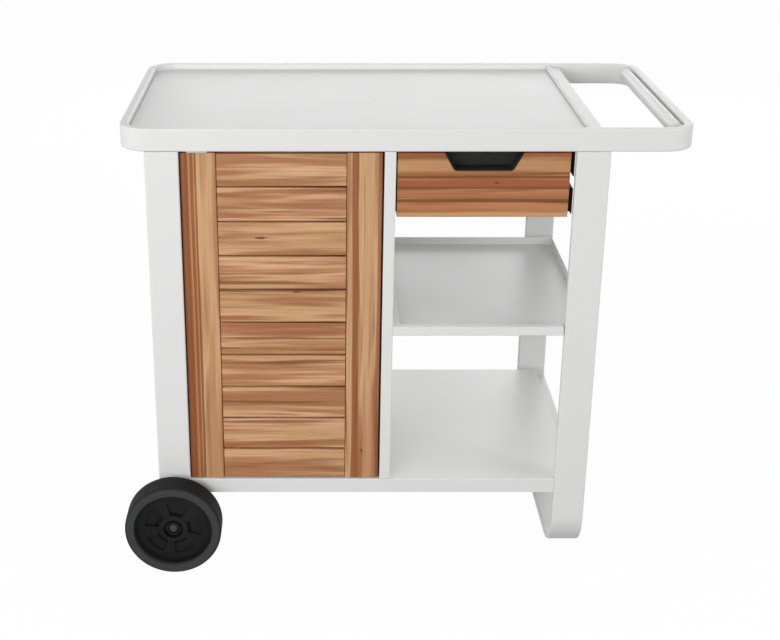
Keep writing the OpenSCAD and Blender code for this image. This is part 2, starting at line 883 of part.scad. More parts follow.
// Side bracket that hangs from the tray and carries the right runner
module drawer_bracket() {
  y0 = tube_t + sheet;
  window_z = runner_z + runner_h;
  color(black) place() difference() {
    union() {
      span([x_leg_r - bracket_t, y0, box_z], [x_leg_r, y_rear - sheet, z_under]);
      span([x_leg_r - bracket_flange, y0, z_under - bracket_t], [x_leg_r, y_rear - sheet, z_under]);
    }
    span([x_leg_r - bracket_t - slack, y0 - slack, window_z],
         [x_leg_r + slack, y0 + window_l, window_z + window_h]);
  }
}

// Runner members as channels: web thickness direction is X from the wall, height is Z
module channel(x0, x1, web_x, inset) {
  low = inset;
  high = runner_h - inset;
  translate([0, runner_y, runner_z]) {
    span([x0, 0, low], [x1, runner_l, low + runner_sheet]);
    span([x0, 0, high - runner_sheet], [x1, runner_l, high]);
    span([web_x, 0, low], [web_x + runner_sheet, runner_l, high]);
  }
}

step = runner_sheet + runner_gap;

module runner_outer() {
  channel(0, runner_t - 2 * step, 0, 0);
}

module runner_mid() {
  channel(step, runner_t - step, step, step);
}

module runner_inner() {
  channel(2 * step, runner_t, runner_t - runner_sheet, 2 * step);
}

module on_left() {
  color(steel) place() translate([x_bay_r, 0, 0]) children();
}

module on_right() {
  color(steel) place() translate([x_leg_r - bracket_t, 0, 0]) mirror([1, 0, 0]) children();
}

// Wheels: each part is drawn from the inner face at z = 0 to the outer face at z = wheel_w.
module front_wheel_place() {
  place() translate([wheel_x, -spacer_l, wheel_r]) rotate([90, 0, 0]) children();
}

module rear_wheel_place() {
  place() translate([wheel_x, ring_depth + spacer_l, wheel_r])
    mirror([0, 1, 0]) rotate([90, 0, 0]) children();
}

tyre_r = wheel_r - tyre_h;
key_z = (wheel_w - key_w) / 2;

module tyre() {
  color(black) rotate_extrude($fn = 96) {
    translate([tyre_r, shoulder_r]) square([tyre_h, wheel_w - 2 * shoulder_r]);
    translate([tyre_r, 0]) square([tyre_h - shoulder_r, wheel_w]);
    translate([tyre_r - key_h, key_z]) square([key_h + slack, key_w]);
    for (z = [shoulder_r, wheel_w - shoulder_r])
      translate([wheel_r - shoulder_r, z]) circle(shoulder_r, $fn = 32);
  }
}

// The web's outer face is a flat cone that rises towards the boss.
web_top = wheel_w - web_set;
boss_r = boss_d / 2;

module hub_section() {
  rim_r = tyre_r - play;
  difference() {
    translate([rim_r - rim_t, boss_set]) square([rim_t, wheel_w - 2 * boss_set]);
    translate([tyre_r - key_h - 2 * play, key_z - play]) square([key_h + slack, key_w + 2 * play]);
  }
  polygon([
    [axle_d / 2, web_top - web_t], [rim_r - rim_t + slack, web_top - web_t], [rim_r - rim_t + slack, web_top],
    [boss_r, web_top + web_dish], [axle_d / 2, web_top + web_dish]
  ]);
  translate([axle_d / 2, 0]) square([boss_r - axle_d / 2, wheel_w - boss_set]);
}

// One blind pocket with its deep slot beside the boss
module hub_pocket() {
  low = boss_r + pocket_in;
  cut_top = web_top + web_dish + slack;
  rotate(-pocket_angle / 2) rotate_extrude(angle = pocket_angle, $fn = 96) {
    translate([low, web_top - pocket_depth]) square([pocket_r, cut_top - web_top + pocket_depth]);
    translate([low, web_top + web_dish - slot_depth]) square([slot_w, slot_depth + slack]);
  }
}

module hub() {
  cup_z = wheel_w - boss_set - cup_depth;
  color(black) difference() {
    rotate_extrude($fn = 96) hub_section();
    translate([0, 0, -slack]) cylinder(d = axle_d + 2 * play, h = wheel_w);
    translate([0, 0, cup_z]) cylinder(d = sleeve_bore, h = cup_depth + slack);
    translate([0, 0, cup_z]) difference() {
      cylinder(d = cup_d, h = cup_depth + slack);
      translate([0, 0, -slack]) cylinder(d = sleeve_d, h = cup_depth - sleeve_set + slack);
    }
    for (i = [0 : hub_pockets - 1])
      rotate(90 + pocket_turn + i * 360 / hub_pockets) hub_pocket();
  }
}

axle_out = wheel_w - boss_set - cup_depth + spacer_l;

module axle() {
  tip = axle_d / 12;
  reach = axle_out + cap_l - cap_wall;
  color(steel) place() translate([wheel_x, -reach, wheel_r]) {
    translate([0, tip, 0]) rod_y(axle_d, ring_depth + 2 * reach - 2 * tip);
    rotate([-90, 0, 0]) cylinder(d1 = axle_d - 2 * tip, d2 = axle_d, h = tip);
    translate([0, ring_depth + 2 * reach - tip, 0]) rotate([-90, 0, 0])
      cylinder(d1 = axle_d, d2 = axle_d - 2 * tip, h = tip);
  }
}

module ring_y(d, bore, length) {
  difference() {
    rod_y(d, length);
    translate([0, -slack, 0]) rod_y(bore, length + 2 * slack);
  }
}

module wheel_spacers() {
  bore = axle_d + 2 * screw_gap;
  color(black) place() {
    translate([wheel_x, thrust_gap - spacer_l, wheel_r]) ring_y(spacer_d, bore, spacer_l - thrust_gap);
    translate([wheel_x, ring_depth, wheel_r]) ring_y(spacer_d, bore, spacer_l - thrust_gap);
  }
}

// One closed cap, its open end at z = 0 and its chamfered end towards +Z
module axle_cap() {
  cap_d = axle_d + 2 * cap_wall + 1;
  difference() {
    union() {
      cylinder(d = cap_d, h = cap_l - cap_wall);
      translate([0, 0, cap_l - cap_wall]) cylinder(d1 = cap_d, d2 = cap_d - 2 * cap_wall, h = cap_wall);
    }
    translate([0, 0, -slack]) cylinder(d = axle_d + 2 * play, h = cap_l - cap_wall + slack);
  }
}

// Push-on caps that hold the wheels on the axle
module axle_caps() {
  color(black) place() {
    translate([wheel_x, -axle_out - thrust_gap, wheel_r]) rotate([90, 0, 0]) axle_cap();
    translate([wheel_x, ring_depth + axle_out + thrust_gap, wheel_r]) rotate([-90, 0, 0]) axle_cap();
  }
}

top_ring();
table_tray();
tray_braces();
handle_crossbar();
handle_tube();
handle_end_caps();
right_leg();
left_leg_front();
left_leg_rear();
leg_caps();
side_rail_left();
side_rail_right();
bottom_shelf();
middle_shelf();
shelf_tab();
divider_panel();
cabinet_side();
cabinet_back();
door_stile_left();
door_stile_right();
for (i = [0 : slat_count - 1]) slat(i);
door_battens();
batten_screws();
pivot_bushes();
pivot_pin_lower();
pivot_pin_upper();
magnet_catch();
strike_plate();
drawer_front();
grip_pocket();
drawer_box();
drawer_back();
drawer_screws();
drawer_bracket();
on_left() runner_outer();  // runner_outer_left
on_right() runner_outer();  // runner_outer_right
on_left() runner_mid();  // runner_mid_left
on_right() runner_mid();  // runner_mid_right
on_left() runner_inner();  // runner_inner_left
on_right() runner_inner();  // runner_inner_right
axle();
wheel_spacers();
axle_caps();
front_wheel_place() tyre();  // tyre_front
front_wheel_place() hub();  // hub_front
rear_wheel_place() tyre();  // tyre_rear
rear_wheel_place() hub();  // hub_rear
rail_screws();
tab_screws();
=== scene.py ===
import math

import bmesh
import bpy
from mathutils import Matrix, Vector


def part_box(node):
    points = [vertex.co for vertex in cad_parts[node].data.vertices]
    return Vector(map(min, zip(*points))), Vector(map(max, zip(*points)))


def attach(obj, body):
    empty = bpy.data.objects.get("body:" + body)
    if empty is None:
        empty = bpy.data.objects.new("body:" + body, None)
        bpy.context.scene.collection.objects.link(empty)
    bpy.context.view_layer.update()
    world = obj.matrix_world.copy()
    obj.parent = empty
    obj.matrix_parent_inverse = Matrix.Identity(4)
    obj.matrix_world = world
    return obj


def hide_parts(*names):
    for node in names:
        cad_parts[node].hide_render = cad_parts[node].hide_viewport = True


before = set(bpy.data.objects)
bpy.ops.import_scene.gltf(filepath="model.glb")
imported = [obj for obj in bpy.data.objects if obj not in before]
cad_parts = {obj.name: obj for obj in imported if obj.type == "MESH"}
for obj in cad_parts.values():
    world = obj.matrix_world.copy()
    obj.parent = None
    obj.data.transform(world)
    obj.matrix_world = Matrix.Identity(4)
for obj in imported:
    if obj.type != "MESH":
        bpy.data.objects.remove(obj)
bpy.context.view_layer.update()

# The camera stands a little left of the table's middle, above the rim, and looks slightly down on it. The shift
# alone brings the table's right end into the frame, so that its upright lines stay as they are in the photograph.
camera = bpy.data.objects.new("camera", bpy.data.cameras.new("camera"))
bpy.context.scene.collection.objects.link(camera)
camera.location = (-0.1440, -2.6706, 1.4655)
camera.rotation_euler = (math.radians(67.90), 0, 0)
camera.data.lens = 65.35
camera.data.sensor_width = 36
camera.data.shift_x = 0.0891
bpy.context.scene.camera = camera
bpy.context.scene.view_settings.view_transform = "Standard"


# Top ring: one flat steel tube, 41 by 15 mm, bent round the whole top and welded shut. It is powder coated in
# satin white, a coat with a very fine orange-peel skin. The right leg is bent from such a tube as well.
def node(tree, kind, inputs=None, **settings):
    """Adds a node; inputs fills its sockets, each with a plain value or another node's output"""
    made = tree.nodes.new(kind)
    for key, value in settings.items():
        setattr(made, key, value)
    for name, value in (inputs or {}).items():
        if isinstance(value, bpy.types.NodeSocket):
            tree.links.new(value, made.inputs[name])
        else:
            made.inputs[name].default_value = value
    return made


def maths(tree, operation, *values):
    return node(tree, "ShaderNodeMath", dict(enumerate(values)), operation=operation).outputs[0]


def new_group(name, kind, inputs, outputs):
    """A node group and its own inputs, each socket given as (name, kind) or as (name, kind, value)"""
    tree = bpy.data.node_groups.new(name, kind)
    for label, what, *value in inputs:
        socket = tree.interface.new_socket(label, in_out="INPUT", socket_type="NodeSocket" + what)
        if value:
            socket.default_value = value[0]
    for label, what in outputs:
        tree.interface.new_socket(label, in_out="OUTPUT", socket_type="NodeSocket" + what)
    return tree, node(tree, "NodeGroupInput").outputs


def pattern(name, inputs, outputs=(("Colour", "Color"), ("Roughness", "Float"), ("Height", "Float"))):
    """A surface pattern, a node group that materials share"""
    return new_group(name, "ShaderNodeTree", inputs, outputs)


def give(tree, **results):
    end = node(tree, "NodeGroupOutput")
    for label, value in results.items():
        tree.links.new(value, end.inputs[label])


def place_vector(tree):
    return node(tree, "ShaderNodeTexCoord").outputs["Object"]


def noise(tree, vector, scale, detail, rough=0.5):
    """Clouds from 0 to 1; the scale is per metre"""
    return node(tree, "ShaderNodeTexNoise", {"Vector": vector, "Scale": scale, "Detail": detail,
                                             "Roughness": rough}).outputs["Fac"]


def between(tree, value, low, high, to_low=0.0, to_high=1.0):
    """Turns a value's range into another one, smoothly and without leaving it"""
    return node(tree, "ShaderNodeMapRange", {"Value": value, "From Min": low, "From Max": high, "To Min": to_low,
                                             "To Max": to_high}, interpolation_type="SMOOTHSTEP").outputs[0]


def uneven(tree, cloud, low, high):
    """A value that drifts from low to high with a cloud of noise"""
    return between(tree, cloud, 0.3, 0.7, low, high)


def blended(tree, share, first, second):
    """Mixes two colours. Sockets 0, 6 and 7 are the share and the colours, and output 2 is the mixed colour."""
    return node(tree, "ShaderNodeMix", {0: share, 6: first, 7: second}, data_type="RGBA").outputs[2]


def new_material(name):
    made = bpy.data.materials.new(name)
    made.use_nodes = True
    return made


def cover(made, colour, roughness, height, relief, **sockets):
    """Leads a pattern to a material's shader; relief is its depth, and sockets are the shader's plain values"""
    tree = made.node_tree
    shader = tree.nodes["Principled BSDF"]
    bump = node(tree, "ShaderNodeBump", {"Height": height, "Strength": 1.0, "Distance": relief})
    for label, value in (("Base Color", colour), ("Roughness", roughness), ("Normal", bump.outputs[0])):
        tree.links.new(value, shader.inputs[label])
    for label, value in sockets.items():
        shader.inputs[label.replace("_", " ")].default_value = value
    return made


def surface(name, looks, values, relief, **sockets):
    """A material whose colour, roughness and bump come from a pattern"""
    made = new_material(name)
    use = node(made.node_tree, "ShaderNodeGroup", values, node_tree=looks).outputs
    return cover(made, use["Colour"], use["Roughness"], use["Height"], relief, **sockets)


dull_grey = (0.60, 0.60, 0.61, 1)
satin_white = (0.75, 0.75, 0.745, 1)
peel_depth = 0.00002
coat, given = pattern("powder_coat", [("Tint", "Color", (0.8, 0.8, 0.8, 1)), ("Gloss", "Float", 0.42)])
where = place_vector(coat)
cloud = noise(coat, where, 7.0, 3.0)
give(coat,
     Colour=blended(coat, uneven(coat, cloud, 0.0, 0.035), given["Tint"], dull_grey),
     Roughness=maths(coat, "ADD", given["Gloss"], uneven(coat, cloud, -0.012, 0.012)),
     Height=noise(coat, where, 900.0, 1.0))
white_coat = surface("white_powder_coat", coat, {"Tint": satin_white, "Gloss": 0.42}, peel_depth)


def make_plain(piece):
    """Turns a piece with its modifiers into a plain mesh"""
    graph = bpy.context.evaluated_depsgraph_get()
    mesh = bpy.data.meshes.new_from_object(piece.evaluated_get(graph), preserve_all_data_layers=True,
                                           depsgraph=graph)
    piece.modifiers.clear()
    piece.data = mesh
    return piece


def put(name, mesh, material=None):
    piece = bpy.data.objects.new(name, mesh)
    bpy.context.scene.collection.objects.link(piece)
    if material:
        mesh.materials.clear()
        mesh.materials.append(material)
    return piece


def smoothed(piece, ease=0.0, steps=2, angle=35):
    """Eases the sharp edges and gives the flats clean normals"""
    for face in piece.data.polygons:
        face.use_smooth = True
    if ease:
        rounding = piece.modifiers.new("ease", "BEVEL")
        rounding.width, rounding.segments = ease, steps
        rounding.limit_method, rounding.angle_limit = "ANGLE", math.radians(angle)
    flats = piece.modifiers.new("flats", "WEIGHTED_NORMAL")
    flats.keep_sharp = True
    return make_plain(piece)


def belongs(piece, body, slot, *nodes):
    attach(piece, body)
    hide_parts(*nodes)


def end_tree(tree, result, shape, material):
    """Ends a Geometry Nodes tree: copies become real geometry, and the material is set"""
    real = node(tree, "GeometryNodeRealizeInstances", {"Geometry": shape.outputs[0]})
    covered = node(tree, "GeometryNodeSetMaterial", {"Geometry": real.outputs[0], "Material": material})
    give(tree, **{result: covered.outputs[0]})


bend_steps, edge_steps = 20, 4
tube, given = new_group("bent_tube", "GeometryNodeTree", [
    ("Path", "Geometry"), ("Bend radius", "Float"), ("Thickness", "Float"), ("Width", "Float"),
    ("Edge radius", "Float"), ("Coat", "Material")], [("Tube", "Geometry")])
line = node(tube, "GeometryNodeMeshToCurve", {"Mesh": given["Path"]})
bends = node(tube, "GeometryNodeFilletCurve", {"Curve": line.outputs[0], "Count": bend_steps, "Limit Radius": True,
                                               "Radius": given["Bend radius"]}, mode="POLY")
upright = node(tube, "GeometryNodeSetCurveNormal", {"Curve": bends.outputs[0]}, mode="Z_UP")
flat = node(tube, "GeometryNodeCurvePrimitiveQuadrilateral", {"Width": given["Thickness"],
                                                              "Height": given["Width"]})
section = node(tube, "GeometryNodeFilletCurve", {"Curve": flat.outputs[0], "Count": edge_steps,
                                                 "Limit Radius": True, "Radius": given["Edge radius"]}, mode="POLY")
swept = node(tube, "GeometryNodeCurveToMesh", {"Curve": upright.outputs[0], "Profile Curve": section.outputs[0],
                                               "Fill Caps": True})
end_tree(tube, "Tube", swept, given["Coat"])


def run_tree(piece, tree, **values):
    """Puts a Geometry Nodes tree on a piece with its inputs and makes the result plain"""
    modifier = piece.modifiers.new(tree.name, "NODES")
    modifier.node_group = tree
    for socket in tree.interface.items_tree:
        label = socket.name.replace(" ", "_")
        if socket.in_out == "INPUT" and label in values:
            modifier[socket.identifier] = values[label]
    return make_plain(piece)


tube_t = 0.015
half_t = tube_t / 2
tube_edge_r = 0.0028
ring_corner_r = 0.055


def bent_tube(name, corners, closed, bend_r, width, seat):
    """Bends the flat tube along corners drawn in a plane, then moves it to its seat"""
    count = len(corners)
    edges = [(i, (i + 1) % count) for i in range(count if closed else count - 1)]
    mesh = bpy.data.meshes.new(name)
    mesh.from_pydata([(u, v, 0) for u, v in corners], edges, [])
    piece = run_tree(put(name, mesh), tube, Bend_radius=bend_r - half_t, Thickness=tube_t, Width=width,
                     Edge_radius=tube_edge_r, Coat=white_coat)
    piece.data.transform(seat)
    return smoothed(piece)


low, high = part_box("top_ring")
ring_path = [(low.x + half_t, low.y + half_t), (high.x - half_t, low.y + half_t),
             (high.x - half_t, high.y - half_t), (low.x + half_t, high.y - half_t)]
ring = bent_tube("top_ring_tube", ring_path, closed=True, bend_r=ring_corner_r, width=high.z - low.z,
                 seat=Matrix.Translation((0, 0, (low.z + high.z) / 2)))
belongs(ring, "cart", "white_metal", "top_ring")

# Table tray: a steel sheet folded down 20 mm along its edges and welded inside the ring, 10 mm below the rim.
# Its only mark is a small pressed dimple near the middle. It has the ring's white powder coat.
# faces that turn by less than the flat angle are joined, and edges that turn by more than the fold angle can be
# rounded as folds; both are in radians
weld_gap = 2e-6
flat_angle, fold_angle = math.radians(0.5), 0.6
fold_steps = 4
sheet_ease = 0.0004


def welded(node_name):
    """A working copy of a CAD node with its loose triangles joined"""
    work = bmesh.new()
    work.from_mesh(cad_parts[node_name].data)
    bmesh.ops.remove_doubles(work, verts=work.verts, dist=weld_gap)
    return work


def as_mesh(name, work):
    mesh = bpy.data.meshes.new(name)
    work.to_mesh(mesh)
    work.free()
    return mesh


def eased(name, node_name, body, slot, material, ease, folds=(), angle=35, steps=2):
    """A node's shape with rounded folds where the sheet is bent and eased edges elsewhere"""
    work = welded(node_name)
    bmesh.ops.dissolve_limit(work, angle_limit=flat_angle, verts=work.verts, edges=work.edges)
    for radius, wanted in folds:
        edges = [e for e in work.edges if e.is_manifold and e.calc_face_angle() > fold_angle
                 and wanted(e.verts[0].co) and wanted(e.verts[1].co)]
        bmesh.ops.bevel(work, geom=edges, offset=radius, segments=fold_steps, profile=0.5, affect="EDGES",
                        clamp_overlap=True)
    piece = smoothed(put(name, as_mesh(name, work), material), ease, steps, angle)
    belongs(piece, body, slot, node_name)


def frame_piece(name, node_name, ease=sheet_ease, folds=(), steps=2):
    """A steel piece of the table's frame, in the white coat"""
    eased(name, node_name, "cart", "white_metal", white_coat, ease, folds, steps=steps)


def near(value, target):
    """Tells whether two places along an axis are the same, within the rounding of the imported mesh"""
    return abs(value - target) < 2e-5


tray_low, tray_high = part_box("table_tray")
tray_fold_r = 0.0028
tray_corner = 0.045


def on_tray_rim(p):
    at_edge = near(p.x, tray_high.x) or near(p.y, tray_low.y) or near(p.y, tray_high.y)
    return near(p.z, tray_high.z) and (at_edge or p.x < tray_low.x + tray_corner)


frame_piece("tray_sheet", "table_tray", folds=[(tray_fold_r, on_tray_rim)])

# Tray braces: two channels folded from sheet, which lie under the tray from the front band to the rear one and
# keep it flat under a hot grill. They are spot welded to the ring and can be seen only from below.
frame_piece("tray_channels", "tray_braces")

# Handle crossbar: a folded sheet bar between the tray and the hand opening, with a pressed bead along its left
# side. It ties the front and rear bands together where the worktop ends, and is welded at both ends.
bar_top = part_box("handle_crossbar")[1].z
bead_h = 0.0025
small_fold_r = 0.0012
frame_piece("crossbar_folded", "handle_crossbar", ease=0.0005, folds=[(small_fold_r, lambda p: p.z > bar_top - bead_h)])

# Handle tube: a round steel tube along the inside of the ring's right end, carried by three short weld pads. It
# is coated with the frame. A domed white plastic plug closes each of its ends.
frame_piece("handle_tube_coated", "handle_tube")

plastic, given = pattern("moulded_plastic", [
    ("Tint", "Color", (0.05, 0.05, 0.05, 1)), ("Gloss", "Float", 0.5), ("Grain size", "Float", 0.0008)])
where = place_vector(plastic)
cloud = noise(plastic, where, 12.0, 3.0)
paler = blended(plastic, 0.05, given["Tint"], (0.5, 0.5, 0.5, 1))
give(plastic,
     Colour=blended(plastic, between(plastic, cloud, 0.35, 0.75, 0.0, 0.25), given["Tint"], paler),
     Roughness=maths(plastic, "ADD", given["Gloss"], uneven(plastic, cloud, -0.05, 0.05)),
     Height=noise(plastic, where, maths(plastic, "DIVIDE", 1.0, given["Grain size"]), 2.0, 0.6))
fine_relief = 0.00001
moulded_relief = 0.00003
white_plastic = surface("white_moulded_plastic", plastic,
                        {"Tint": satin_white, "Gloss": 0.38, "Grain size": 0.0006}, fine_relief)


def turned(name, outline, seats, material, steps):
    """Turns an outline of (radius, height) points round the Z axis and sets a copy in each seat. An outline that
    doesn't touch the axis is closed into a ring."""
    work = bmesh.new()
    for seat in seats:
        rings = []
        for radius, height in outline:
            count = steps if radius > 1e-6 else 1
            rings.append([work.verts.new(seat @ Vector((radius * math.cos(math.tau * i / steps),
                                                        radius * math.sin(math.tau * i / steps), height)))
                          for i in range(count)])
        closed = all(len(ring) > 1 for ring in rings)
        for a, b in zip(rings, rings[1:] + ([rings[0]] if closed else [])):
            for i in range(steps):
                corners = [a[i % len(a)], a[(i + 1) % len(a)], b[(i + 1) % len(b)], b[i % len(b)]]
                work.faces.new(list(dict.fromkeys(corners)))
    bmesh.ops.recalc_face_normals(work, faces=work.faces)
    return smoothed(put(name, as_mesh(name, work), material))


def along_y(x, y, z, way):
    """A seat whose Z axis points along +Y or -Y"""
    return Matrix.Translation((x, y, z)) @ Matrix.Rotation(math.radians(-90 * way), 4, "X")


def quarter(radius, height, r, start, steps):
    """Points of a rounded corner, a quarter turn from the start angle on"""
    angles = [math.radians(start + 90 * i / steps) for i in range(steps + 1)]
    return [(radius + r * math.cos(angle), height + r * math.sin(angle)) for angle in angles]


cap_low, cap_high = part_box("handle_end_caps")
rod_low, rod_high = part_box("handle_tube")
rod_r = (cap_high.z - cap_low.z) / 2
rod_x, rod_z = cap_low.x + rod_r, cap_low.z + rod_r
cap_l = rod_low.y - cap_low.y
stem_l, stem_gap, cap_lip = 0.012, 0.002, 0.0006
dome_r = cap_l - cap_lip
plug_outline = [(0, -stem_l), (rod_r - stem_gap, -stem_l), (rod_r - stem_gap, 0),
                (rod_r - cap_lip / 3, cap_lip / 3), (rod_r, cap_lip)]
plug_outline += quarter(rod_r - dome_r, cap_lip, dome_r, start=0, steps=8) + [(0, cap_l)]
plugs = turned("handle_plugs", plug_outline, [along_y(rod_x, rod_low.y, rod_z, -1),
                                              along_y(rod_x, rod_high.y, rod_z, 1)], white_plastic, steps=64)
belongs(plugs, "cart", "white_plastic", "handle_end_caps")

# Left legs: two upright flat tubes, 60 by 15 mm, welded to the ring. The axle passes through both just above
# their lower ends, which black plastic caps close.
fine_ease = 0.0003
for side in ("front", "rear"):
    frame_piece("left_leg_tube_" + side, "left_leg_" + side, fine_ease)
black_plastic = surface("black_moulded_plastic", plastic,
                        {"Tint": (0.011, 0.014, 0.011, 1), "Gloss": 0.50, "Grain size": 0.0008}, moulded_relief,
                        Specular_IOR_Level=0.25)
eased("leg_end_caps", "leg_caps", "cart", "black_plastic", black_plastic, ease=0.0008)

# Right leg: one flat tube bent into a U on an 80 mm radius, so that its lower run stands on the floor as a
# sled. Both of its upper ends are welded under the ring.
low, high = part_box("right_leg")
leg_bend_r = 0.080
leg_path = [(low.y + half_t, high.z), (low.y + half_t, low.z + half_t),
            (high.y - half_t, low.z + half_t), (high.y - half_t, high.z)]
upright_plane = Matrix(((0, 0, 1, 0), (1, 0, 0, 0), (0, 1, 0, 0), (0, 0, 0, 1)))
leg = bent_tube("right_leg_tube", leg_path, closed=False, bend_r=leg_bend_r, width=high.x - low.x,
                seat=Matrix.Translation(((low.x + high.x) / 2, 0, 0)) @ upright_plane)
belongs(leg, "cart", "white_metal", "right_leg")

# Side rails: two small rectangular tubes that run from the front legs to the rear ones. They are welded there
# and carry the lower shelf, which is screwed to their inner faces.
rail_edge_r = 0.0015
for side in ("left", "right"):
    frame_piece("side_rail_tube_" + side, "side_rail_" + side, ease=rail_edge_r, steps=3)

# Lower shelf: a sheet folded down along its edges, 28 mm deep at the front, where it reaches forward between
# the legs. Six zinc-plated screws hold its side skirts to the rails.
shelf_low, shelf_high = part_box("bottom_shelf")
frame_piece("lower_shelf_sheet", "bottom_shelf", folds=[(small_fold_r, lambda p: near(p.z, shelf_high.z))])

metal, given = pattern("plated_metal", [("Tint", "Color", (0.6, 0.6, 0.6, 1)), ("Gloss", "Float", 0.3)])
zinc_bloom = (0.42, 0.43, 0.45, 1)
where = place_vector(metal)
bloom = noise(metal, where, 160.0, 4.0, 0.6)
give(metal,
     Colour=blended(metal, between(metal, bloom, 0.35, 0.7, 0.0, 0.4), given["Tint"], zinc_bloom),
     Roughness=maths(metal, "ADD", given["Gloss"], uneven(metal, bloom, -0.06, 0.12)),
     Height=noise(metal, where, 2500.0, 2.0))
zinc = surface("zinc_plated_steel", metal, {"Tint": (0.62, 0.63, 0.64, 1), "Gloss": 0.28}, fine_relief, Metallic=1.0)

screw_tree, given = new_group("screws_in_their_holes", "GeometryNodeTree", [
    ("Places", "Geometry"), ("Screw", "Object"), ("Plating", "Material")], [("Screws", "Geometry")])
one = node(screw_tree, "GeometryNodeObjectInfo", {"Object": given["Screw"]})
facing = node(screw_tree, "GeometryNodeInputNamedAttribute", {"Name": "facing"}, data_type="FLOAT_VECTOR")
turn = node(screw_tree, "FunctionNodeAlignRotationToVector", {"Vector": facing.outputs[0]}, axis="Z")
placed = node(screw_tree, "GeometryNodeInstanceOnPoints", {
    "Points": given["Places"], "Instance": one.outputs["Geometry"], "Rotation": turn.outputs[0]})
end_tree(screw_tree, "Screws", placed, given["Plating"])

head_r, head_h, shank_r, tip_l = 0.004, 0.002, 0.00232, 0.002


def solids_of(node_name):
    """The lowest and highest corner of each solid in a CAD node"""
    work = welded(node_name)
    seen, boxes = set(), []
    for first in work.verts:
        if first not in seen:
            found, edge = set(), {first}
            while edge:
                found |= edge
                edge = {e.other_vert(v) for v in edge for e in v.link_edges} - found
            seen |= found
            boxes.append([Vector(pick(v.co[i] for v in found) for i in range(3)) for pick in (min, max)])
    work.free()
    return boxes


def screw_set(name, node_name, body, facing_of):
    """Pan-head screws, one for each solid of the CAD node; facing_of gives the way that a screw's head faces"""
    spots, ways = [], []
    for low, high in solids_of(node_name):
        middle = (low + high) / 2
        way = Vector(facing_of(middle))
        length = (high - low).dot(Vector(map(abs, way)))
        spots.append(middle + way * length / 2)
        ways.append(way)
    # the outline runs from the tip to the head's edge, over the head's rounded top and down into the recess
    outline = [(0, -length), (shank_r * 0.3, -length), (shank_r, tip_l - length), (shank_r, -head_h),
               (head_r, -head_h), (head_r, -head_h * 0.55), (head_r * 0.86, -head_h * 0.16), (head_r * 0.62, 0),
               (head_r * 0.44, -head_h * 0.05), (head_r * 0.40, -head_h * 0.62), (0, -head_h * 0.7)]
    screw = turned(name + "_one", outline, [Matrix.Identity(4)], zinc, steps=24)
    # the recess is drawn out into a star of six points
    for v in screw.data.vertices:
        if v.co.z > -head_h * 0.8 and 0 < math.hypot(v.co.x, v.co.y) < head_r * 0.5:
            v.co.xy *= 1 + 0.2 * math.cos(6 * math.atan2(v.co.y, v.co.x))
    mesh = bpy.data.meshes.new(name)
    mesh.from_pydata(spots, [], [])
    mesh.attributes.new("facing", "FLOAT_VECTOR", "POINT").data.foreach_set("vector", [c for w in ways for c in w])
    piece = run_tree(put(name, mesh), screw_tree, Screw=screw, Plating=zinc)
    bpy.data.objects.remove(screw)
    belongs(smoothed(piece), body, "zinc_steel", node_name)


shelf_mid = (shelf_low.x + shelf_high.x) / 2
screw_set("shelf_screws", "rail_screws", "cart", lambda p: (1 if p.x < shelf_mid else -1, 0, 0))

# Divider: a sheet folded into a narrow upright box, open at the back, between the cupboard and the shelves. Its
# front edge shows as a slim post. The cupboard's left side and its back are plain coated sheets.
sheet_fold_r = 0.0016
divider_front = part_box("divider_panel")[0].y
frame_piece("divider_sheet", "divider_panel", folds=[(sheet_fold_r, lambda p: near(p.y, divider_front))])
frame_piece("cupboard_side_sheet", "cabinet_side")
frame_piece("cupboard_back_sheet", "cabinet_back")

# Middle shelf: a sheet folded up into a shallow tray. The left and front edges end in hems, and the right side
# is notched round the leg. A small angle under its back edge is screwed to the rear leg.
mid_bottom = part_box("middle_shelf")[0].z
frame_piece("middle_shelf_sheet", "middle_shelf", folds=[(sheet_fold_r, lambda p: near(p.z, mid_bottom))])
frame_piece("shelf_angle", "shelf_tab")
screw_set("angle_screws", "tab_screws", "cart", lambda p: (0, -1, 0))


# Door stiles: two upright boards of an oiled tropical hardwood, 18 mm thick, with softly rounded long edges. The
# grain runs upwards, and reddish heartwood shows as long streaks in the tan sapwood.
def streaks(tree, vector, along, across, detail=2.0, rough=0.5, offset=0.0):
    """Noise drawn out along the grain; the scales are per metre"""
    drawn = node(tree, "ShaderNodeMapping", {"Vector": vector, "Location": (offset, offset * 0.7, offset * 1.3),
                                             "Scale": (along, across, across)})
    return noise(tree, drawn.outputs[0], 1.0, detail, rough)


def moved_by(tree, vector, x=0.0, y=0.0, z=0.0):
    step = node(tree, "ShaderNodeCombineXYZ", {"X": x, "Y": y, "Z": z})
    return node(tree, "ShaderNodeVectorMath", {0: vector, 1: step.outputs[0]}, operation="ADD").outputs[0]


def wandering(tree, vector, along, across, reach):
    """A place that drifts slowly across the grain, so that the streaks aren't ruled straight"""
    drift = maths(tree, "SUBTRACT", streaks(tree, vector, along, across, detail=1.0), 0.5)
    return moved_by(tree, vector, z=maths(tree, "MULTIPLY", drift, reach))


def weighed(tree, first, share, second):
    """The share of the first value and the rest of the second"""
    return maths(tree, "ADD", maths(tree, "MULTIPLY", first, share), maths(tree, "MULTIPLY", second, 1 - share))


